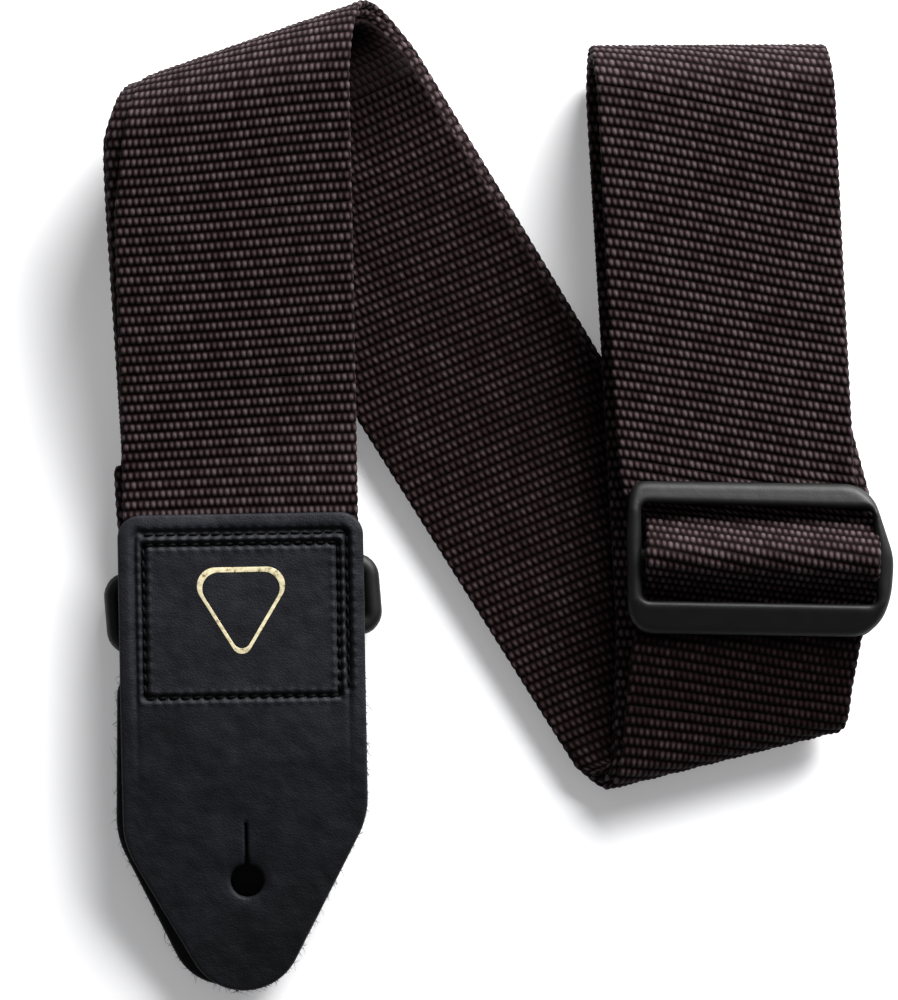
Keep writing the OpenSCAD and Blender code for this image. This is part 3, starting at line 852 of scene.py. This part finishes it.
def edge_distance(points, loops):
    """How far each point is from the nearest of these loops. The points are taken a block at a time."""
    best = np.full(len(points), np.inf)
    for loop in loops:
        step = np.roll(loop, -1, axis=0) - loop
        for k in range(0, len(points), BLOCK):
            p = points[k:k + BLOCK][:, None, :]
            t = np.clip(((p - loop) * step).sum(2) / ((step ** 2).sum(1) + 1e-12), 0, 1)
            near = np.linalg.norm(p - (loop + t[:, :, None] * step), axis=2).min(axis=1)
            best[k:k + BLOCK] = np.minimum(best[k:k + BLOCK], near)
    return best


def inside(points, loop):
    x, y = points[:, 0], points[:, 1]
    result = np.zeros(len(points), bool)
    for (x0, y0), (x1, y1) in zip(loop, np.roll(loop, -1, axis=0)):
        if y0 == y1:
            continue
        result ^= ((y0 > y) != (y1 > y)) & (x < (x1 - x0) * (y - y0) / (y1 - y0) + x0)
    return result


def wound(loop, way):
    """The loop, run anticlockwise for 1 and clockwise for -1."""
    x, y = loop.T
    area = np.sum(x * np.roll(y, -1) - y * np.roll(x, -1))
    return loop if area * way > 0 else loop[::-1]


def outward(loop):
    """The direction out of an anticlockwise loop, at each of its points."""
    ahead = np.roll(loop, -1, axis=0) - np.roll(loop, 1, axis=0)
    return unit(np.stack([ahead[:, 1], -ahead[:, 0]], axis=1))


def plate(name, outline, hole, thickness, edge_r, spacing, relief, place, material, slot, body, nodes,
          extra=np.empty((0, 2)), rings=()):
    """A closed plate with rounded edges and one hole, and the number of its flat faces.

    relief(x, y, d) is the top's extra height at distance d from an edge. place puts points in the
    frame. The mesh is finer at the extra points and in rings this far inside the outline.
    """
    loops = [wound(outline, 1), wound(hole, -1)]
    outline, hole = loops
    edges, start = [], 0
    for loop in loops:
        n = len(loop)
        edges += [(start + k, start + (k + 1) % n) for k in range(n)]
        start += n
    lo, hi = outline.min(0), outline.max(0)
    gx, gy = np.meshgrid(np.arange(lo[0], hi[0], spacing), np.arange(lo[1], hi[1], spacing * 0.866))
    gx = gx + (np.arange(len(gx)) % 2)[:, None] * spacing / 2
    free = np.concatenate([np.stack([gx.ravel(), gy.ravel()], axis=1), extra])
    free = free[inside(free, outline) & ~inside(free, hole)]
    inset = [edge_r * k for k in (0.03, 0.12, 0.27, 0.47, 0.72, 1.0)]
    free = free[edge_distance(free, loops) > edge_r + 0.2]
    ring_points = []
    for d in inset + list(rings):
        for loop in loops if d <= edge_r else loops[:1]:
            ring = loop - outward(loop) * d
            ring_points.append(ring[edge_distance(ring, loops) > d * 0.93])
    points = np.concatenate(loops + ring_points + [free])
    points = points + RNG.normal(0, 1e-5, points.shape)
    verts, _, tris, *_ = delaunay_2d_cdt([Vector(p) for p in points], edges, [], 0, 1e-7)
    flat = np.array([tuple(v) for v in verts])
    tris = np.array([t for t in tris if len(t) == 3])
    centre = flat[tris].mean(axis=1)
    tris = tris[inside(centre, outline) & ~inside(centre, hole)]
    used, index = np.unique(tris, return_inverse=True)
    flat, tris = flat[used], index.reshape(-1, 3)
    d_edge = edge_distance(flat, loops)
    d_edge[d_edge < 1e-3] = 0
    k = np.clip(d_edge / edge_r, 0, 1)
    drop = edge_r * (1 - np.sqrt(1 - (1 - k) ** 2))
    top = place(flat[:, 0], flat[:, 1], thickness - drop + relief(flat[:, 0], flat[:, 1], d_edge))
    bottom = place(flat[:, 0], flat[:, 1], drop * 0.5)
    n = len(flat)
    tris = tris.tolist()
    directed = [(t[k], t[k - 2]) for t in tris for k in range(3)]
    known = set(directed)
    rim = [(a, b) for a, b in directed if (b, a) not in known]
    rim_ids = sorted({v for e in rim for v in e})
    order = {v: i for i, v in enumerate(rim_ids)}
    wall = []
    for level in range(1, WALL_LEVELS + 1):
        f = level / (WALL_LEVELS + 1)
        wall.append(top[rim_ids] * (1 - f) + bottom[rim_ids] * f)
    pts = np.concatenate([top, bottom] + wall)
    faces = tris + [[a + n, c + n, b + n] for a, b, c in tris]

    def column(v):
        return [v] + [2 * n + level * len(rim_ids) + order[v] for level in range(WALL_LEVELS)] + [v + n]

    side_faces = []
    for a, b in rim:
        left, right = column(a), column(b)
        side_faces += [[right[q], left[q], left[q + 1], right[q + 1]] for q in range(WALL_LEVELS + 1)]
    return new_mesh(name, pts, faces + side_faces, material, slot, body, nodes), len(faces)


def noise_at(x, y, scale, seed=0.0):
    return np.array([noise.noise(Vector((a * scale, b * scale, seed))) for a, b in zip(x, y)])


def hole_outline(cy):
    """The button hole and its slit, which narrows to a thin cut."""
    mouth, cut = 0.5, 0.2
    a0 = math.degrees(math.acos(mouth / HOLE_R))
    circle = arc(0, 0, HOLE_R, 180 - a0, 360 + a0, 0.35)
    slit_y = np.linspace(HOLE_R + 0.3, HOLE_R + SLIT_L, 22)
    wide = mouth - (mouth - cut) * np.clip((slit_y - HOLE_R) / 2.5, 0, 1)
    right = np.stack([wide, slit_y], axis=1)
    return np.concatenate([circle, right, (right * [-1, 1])[::-1]]) + [0, cy]


def front_height(y):
    """The front leather's underside: level under the stitches, then bending down towards the floor."""
    slope = FRONT_DROP / (FRONT_L - FRONT_BEND)
    past = -y - FRONT_BEND
    return FRONT_Z - slope * (np.logaddexp(0, past / 4.0) * 4.0)


def front_place(x, y, h):
    return left_points(x, LEATHER_TOP - y, front_height(y) + h)


STITCH_PITCH = 2.4
SIDE, BOX_TOP, BOX_LOW = 21.0, -6.5, -39.5
BOX_LINES = [((-SIDE, BOX_TOP), (SIDE, BOX_TOP)), ((SIDE, BOX_TOP - 0.6), (SIDE, BOX_LOW + 0.6)),
             ((SIDE, BOX_LOW), (-SIDE, BOX_LOW)), ((-SIDE, BOX_LOW + 0.6), (-SIDE, BOX_TOP - 0.6))]
SECOND_LINES = [((-SIDE, BOX_TOP + 2.2), (SIDE + 1.8, BOX_TOP + 2.2)),
                ((SIDE + 2.0, BOX_TOP + 1.6), (SIDE + 2.0, BOX_LOW + 1.5))]


def line_frame(a, b):
    """A line's start, its length, its direction and the direction to its left."""
    a, b = np.array(a), np.array(b)
    length = np.linalg.norm(b - a)
    along = (b - a) / length
    return a, length, along, np.array([-along[1], along[0]])


def crease(away, width):
    """1 on a line, and 0 a few widths away from it."""
    return np.exp(-(away / width) ** 2)


def front_relief(x, y, d):
    """The pressed rim, the stitches' grooves, the hole's dented edge and the leather's unevenness."""
    h = np.zeros(len(x))
    rim = np.clip((y + 62) / 12, 0, 1) * (0.25 + 0.75 * np.clip((y + 46) / 14, 0, 1))
    h -= 0.50 * crease(d - 3.6, 0.55) * rim
    h += 0.30 * crease(d - 2.0, 0.9) * rim
    for line in BOX_LINES + SECOND_LINES:
        start, length, along, _ = line_frame(*line)
        offset = np.stack([x, y], axis=1) - start
        run = np.clip(offset @ along, 0, length)
        away = np.linalg.norm(offset - run[:, None] * along, axis=1)
        pitch = np.cos(2 * np.pi * run / STITCH_PITCH)
        h -= (0.95 if line in BOX_LINES else 0.40) * crease(away, 0.58) * (0.85 + 0.3 * pitch)
        h += 0.20 * crease(away - 1.25, 0.38) * (0.6 - 0.5 * pitch)
    hole_away = np.hypot(x, y + FRONT_L - HOLE_FROM_TIP)
    h -= 0.35 * crease(hole_away - HOLE_R, 1.3)
    h += 0.22 * noise_at(x, y, 0.11) + 0.10 * noise_at(x, y, 0.33, 4.0) + 0.05 * noise_at(x, y, 0.9, 9.0)
    return h


def stitch_points():
    """Mesh points on and beside each line of stitching."""
    points = []
    for line in BOX_LINES + SECOND_LINES:
        start, length, along, across = line_frame(*line)
        for s in np.arange(0, length, 0.34):
            for o in (-1.5, -1.15, -0.85, -0.55, -0.28, 0, 0.28, 0.55, 0.85, 1.15, 1.5):
                points.append(start + along * (s + 0.17 * (round(o * 10) % 2)) + across * o)
    return np.array(points)


def leather_end(name, outline, hole, edge_r, spacing, relief, place, material, node, body, **finer):
    """A leather end, whose cut edge has a material of its own."""
    piece, flat_faces = plate(name, outline, hole, LEATHER_T, edge_r, spacing, relief, place, material,
                              "leather", body, [node], **finer)
    piece.data.materials.append(MATERIALS["edge"])
    for polygon in piece.data.polygons[flat_faces:]:
        polygon.material_index = 1


FRONT_OUTLINE = leather_outline(LEATHER_W, FRONT_L)
leather_end("front_leather", FRONT_OUTLINE, hole_outline(HOLE_FROM_TIP - FRONT_L), 0.75, 0.75, front_relief,
            front_place, "leather", "front_leather_end", "front_end", extra=stitch_points(),
            rings=[2.3, 2.6, 2.9, 3.15, 3.35, 3.55, 3.75, 4.0, 4.3, 4.7])

REAR_L = 68.5
REAR_W = LEATHER_W - 2.4
REAR_HOLE_FROM_TIP = 32.0
REAR_Z = 0.1
REAR_SHIFT = -2.4
REAR_SKEW = 0.022  # the rear leather lies turned by this slope
REAR_TOP = LEATHER_TOP + FRONT_L - 1 - REAR_L


def rear_place(x, y, h):
    return left_points(x + REAR_SHIFT + REAR_SKEW * y, REAR_TOP - y, REAR_Z + h)


def rear_relief(x, y, d):
    return 0.12 * noise_at(x, y, 0.12, 2.0) - 0.05 + 0.04 * noise_at(x, y, 0.5, 3.0)


REAR_OUTLINE = leather_outline(REAR_W, REAR_L)
leather_end("rear_leather", REAR_OUTLINE, hole_outline(REAR_HOLE_FROM_TIP - REAR_L) - [1.2, 0], 0.7, 1.2,
            rear_relief, rear_place, "leather_painted_shade", "rear_leather_end", "rear_end")


# Threads and fibres --------

def circle_steps(sides):
    return np.arange(sides) * 2 * np.pi / sides


def ring_faces(here, ahead, sides):
    """The faces between two rings of a tube's points, which start at these indices."""
    return [[here + a, here + (a + 1) % sides, ahead + (a + 1) % sides, ahead + a] for a in range(sides)]


def tube_mesh(lines, sides=7):
    """The points and faces of closed tubes along lines of (point, radius)."""
    pts, faces = [], []
    for line in lines:
        p = np.array([q for q, _ in line])
        r = np.array([q for _, q in line])
        t = unit(np.gradient(p, axis=0))
        u = unit(np.cross(t, UP if abs(t[0] @ UP) < 0.9 else heading(0)))
        v = np.cross(u, t)
        base = len(pts)
        for k in range(len(p)):
            for a in circle_steps(sides):
                pts.append(p[k] + r[k] * (math.cos(a) * u[k] + math.sin(a) * v[k]))
        for k in range(len(p) - 1):
            faces += ring_faces(base + k * sides, base + (k + 1) * sides, sides)
        faces.append([base + a for a in range(sides)][::-1])
        faces.append([base + (len(p) - 1) * sides + a for a in range(sides)])
    return pts, faces


def placed(place, p, h):
    """One point in the frame."""
    return place(np.array([p[0]]), np.array([p[1]]), np.array([h]))[0]


def stitches(name, lines, place, height, radius, nodes, body):
    """One short arched thread for each stitch of each line."""
    tubes = []
    for a, b in lines:
        start, length, along, across = line_frame(a, b)
        count = int(length / STITCH_PITCH)
        for k in range(count):
            mid = (k + 0.5) * length / count
            sway = RNG.normal(0, 0.05)
            twist = RNG.normal(0.10, 0.04)
            line = []
            for f in np.linspace(-1, 1, 7):
                p = start + along * (mid + f * STITCH_PITCH * 0.44) + across * (sway + f * twist)
                h = height + 0.24 * (1 - f * f) - 0.55 * abs(f) ** 5
                line.append((placed(place, p, h), radius * (1 - 0.45 * abs(f) ** 4)))
            tubes.append(line)
    new_mesh(name, *tube_mesh(tubes), "thread", "thread", body, nodes)


def fibres(name, outline, place, from_y, count, body):
    """Short loose fibres along the cut edge, below from_y."""
    out = outward(outline)
    places = np.flatnonzero(outline[:, 1] < from_y)
    tubes = []
    for _ in range(count):
        k = RNG.choice(places)
        along = np.array([-out[k][1], out[k][0]])
        lean, length = RNG.normal(0, 0.9), RNG.gamma(3.0, 0.22)
        curl, h0, rise = RNG.normal(0, 0.5), RNG.uniform(0.5, LEATHER_T - 0.6), RNG.normal(0, 0.35)
        line = []
        for f in np.linspace(0, 1, 5):
            p = outline[k] + out[k] * (length * f - 0.2) + along * (length * (lean * f + curl * f * f))
            line.append((placed(place, p, max(0.1, h0 + rise * f)), 0.075 * (1 - 0.7 * f)))
        tubes.append(line)
    new_mesh(name, *tube_mesh(tubes, 3), "edge", "leather", body)


fibres("front_edge_fibres", FRONT_OUTLINE, front_place, -34, 520, "front_end")
fibres("rear_edge_fibres", REAR_OUTLINE, rear_place, -4, 420, "rear_end")
stitches("front_stitches", BOX_LINES, front_place, LEATHER_T - 0.80, 0.46, ["front_box_stitching"],
         "front_end")
stitches("front_second_stitches", SECOND_LINES, front_place, LEATHER_T - 0.44, 0.26, [], "front_end")


# Foil mark --------

def plectrum(r):
    """A plain outline of a plectrum, in the middle of the stitched box."""
    points = [arc(0, -r * 0.75, r * 0.22, 0, 360, 0.2)]
    for side in (-1, 1):
        points.append(arc(side * r * 0.55, r * 0.5, r * 0.4, 0, 360, 0.3))
    return resample(hull(np.concatenate(points)), 0.35) + [0, -20.5]


def foil_place(x, y, h):
    """The foil follows the leather's top, away from its rim."""
    lift = front_relief(x, y, np.full(len(x), 9.0))
    return front_place(x, y, LEATHER_T + lift - 0.02 + h)


plate("foil_outline", plectrum(10.0), plectrum(8.8), 0.08, 0.03, 0.5, lambda x, y, d: 0.0, foil_place,
      "foil", "foil", "front_end", ["foil_mark"])


# Ring --------

RING_END_X, RING_CORNER = 28.0, 3.0


def ring_line():
    """The ring's centre line about its middle: a rectangle with rounded corners."""
    x, y = RING_END_X - RING_CORNER, RING_BAR_Y - RING_CORNER
    corners = [(x, y, 0), (-x, y, 90), (-x, -y, 180), (x, -y, 270)]
    return resample(np.concatenate([arc(cx, cy, RING_CORNER, a, a + 90) for cx, cy, a in corners]), 0.7)


def closed_sweep(line, radius, sides, place):
    """The points and faces of a bar round a closed anticlockwise line."""
    out = outward(line)
    pts, n = [], len(line)
    for k in range(n):
        for a in circle_steps(sides):
            p = line[k] + out[k] * radius[k] * math.cos(a)
            pts.append(place(p[0], p[1], radius[k] * math.sin(a)))
    return pts, [f for k in range(n) for f in ring_faces(k * sides, (k + 1) % n * sides, sides)]


def ring_place(x, y, z):
    return ring_point(x, RING_MID - y, RING_Z + z)


centre_line = ring_line()
ring_r = np.where(np.abs(centre_line[:, 0]) > RING_END_X - 1, 2.0, 2.08)
new_mesh("ring_bar", *closed_sweep(centre_line, ring_r, 20, ring_place), "plastic", "moulded_plastic",
         "ring", ["ring"])


# Slider --------

SLIDER_T = 4.0


def slider_place(x, y, h):
    out = SLIDER_GROUND + np.outer(x, heading(SLIDER_TURN)) + np.outer(y, heading(SLIDER_TURN + 90))
    out[:, 2] = BAR_Z - SLIDER_T / 2 + h
    return out


def rounded(corners, r):
    """A loop through these corners, each cut with a smooth curve."""
    corners = np.array(corners)
    out = []
    for k in range(len(corners)):
        before, here, after = corners[k - 1], corners[k], corners[(k + 1) % len(corners)]
        to_before, to_after = before - here, after - here
        a = here + to_before * min(0.5, r / np.linalg.norm(to_before))
        b = here + to_after * min(0.5, r / np.linalg.norm(to_after))
        for f in np.linspace(0, 1, 9):
            out.append((1 - f) ** 2 * a + 2 * f * (1 - f) * here + f * f * b)
    return resample(np.array(out), 0.6)


def slider_relief(x, y, d):
    """The two outer bars slope down, away from the centre bar."""
    return 0.03 * noise_at(x, y, 0.6, 5.0) - 0.33 * np.maximum(0, np.abs(y - BAR_Y) - 9.8)


# The frame bulges at its right end
SLIDER_OUTLINE = rounded([
    (-28.6, 13.6), (-27.2, 16.6), (19.8, 16.6), (24.2, 13.7), (28.6, 0.8), (28.2, -7.0),
    (26.4, -12.8), (22.2, -16.6), (-25.2, -16.4), (-28.4, -12.8), (-28.7, -2.0), (-29.0, 5.0)], 2.6)
SLIDER_WINDOW = rounded([(-26.0, 11.8), (23.9, 11.2), (25.1, -9.4), (-25.4, -9.2)], 1.8)
plate("slider_frame", SLIDER_OUTLINE, SLIDER_WINDOW, SLIDER_T, 1.6, 0.9, slider_relief, slider_place,
      "plastic", "moulded_plastic", "slider", ["slider_buckle"])
bar_line = [(placed(slider_place, (x, BAR_Y), 1.5), BAR_R) for x in np.linspace(-27, 27, 20)]
new_mesh("slider_centre_bar", *tube_mesh([bar_line], 16), "plastic", "moulded_plastic", "slider")


# Rear webbing loop --------

RING_LOWER_BAR = RING_MID + RING_BAR_Y
TAIL_L = 30  # of both layers of the loop, on the rear leather
TAIL_Z = [REAR_Z + LEATHER_T + 0.05 + HALF_T, REAR_Z + LEATHER_T + 0.1 + HALF_T + LAYER_T]
REAR_PATH = Path()
REAR_PATH.add([left_row(REAR_TOP + TAIL_L, TAIL_Z[0]), left_row(REAR_TOP - 0.5, TAIL_Z[0]),
               ring_row(RING_LOWER_BAR + 2.8, RING_Z - WRAP_R_RING + 0.3)], 0.1)
REAR_PATH.add(ring_turn_rows(RING_LOWER_BAR, -1), 0.1)
REAR_PATH.add([left_row(REAR_TOP - 0.5, TAIL_Z[1]), left_row(REAR_TOP + TAIL_L, TAIL_Z[1])], 0.1)
REAR_PATH.finish()
band("webbing_rear_loop", 0.5, REAR_PATH.end - 0.5, "rear_loop_under_run rear_loop_turn rear_loop_over_run",
     False, "rear_end", REAR_PATH)


def tail_place(x, y, h):
    return left_points(x, REAR_TOP - y, TAIL_Z[1] + HALF_T + h)


def tack_place(x, y, h):
    """The tack lies on the underside of the sewn end."""
    z = np.full(len(x), UNDER_TOP - 2 * PITCH - HALF_T - h)
    return np.stack([RIGHT_X + x, SLIDER[1] + TACK_Y + y, z], axis=1)


REAR_BOX = [(-SIDE, -4.0), (SIDE, -4.0), (SIDE, -26.0), (-SIDE, -26.0)]
REAR_LINES = list(zip(REAR_BOX, REAR_BOX[1:] + REAR_BOX[:1]))
TACK_LINES = [((-22, y), (22, y)) for y in (-10, -6)]
stitches("rear_stitches", REAR_LINES, tail_place, 0.0, 0.36, ["rear_box_stitching"], "rear_end")
stitches("tack_stitches", TACK_LINES, tack_place, -0.1, 0.3, ["bar_tack"], "slider")


# Floor, light and camera --------

scene = bpy.context.scene
floor_mesh = bpy.data.meshes.new("studio_floor")
floor_mesh.from_pydata([(-3, -3, 0), (3, -3, 0), (3, 3, 0), (-3, 3, 0)], [], [(0, 1, 2, 3)])
floor_mesh.materials.append(MATERIALS["floor"])
floor = link("studio_floor", floor_mesh)
floor.location.z = -0.0002

world = bpy.data.worlds.new("studio")
world.use_nodes = True
background = world.node_tree.nodes["Background"].inputs
background["Color"].default_value = (1, 1, 1, 1)
background["Strength"].default_value = 0.20
scene.world = world
scene.view_settings.view_transform = "Standard"

key = bpy.data.lights.new("key", "AREA")
key.shape = "RECTANGLE"
key.size, key.size_y = 0.80, 0.62
key.energy = 50
key_light = link("key", key)
key_light.location = (0.56, 0.88, 0.46)
key_light.rotation_euler = (-key_light.location).to_track_quat("-Z", "Y").to_euler()

# The camera looks straight down. The strap lies turned by this many degrees in the picture.
ROLL = 3.2
DISTANCE = 1.1
SEEN_HEIGHT = 0.2174
SENSOR = 36
AIM = Vector((-0.010165, -0.00197, 0.004))
camera_data = bpy.data.cameras.new("camera")
camera_data.sensor_width = SENSOR
camera_data.lens = SENSOR * DISTANCE / SEEN_HEIGHT
camera = link("camera", camera_data)
turned = Matrix.Rotation(math.radians(-ROLL), 4, "Z")
camera.matrix_world = Matrix.Translation(AIM + Vector((0, 0, DISTANCE))) @ turned
scene.camera = camera
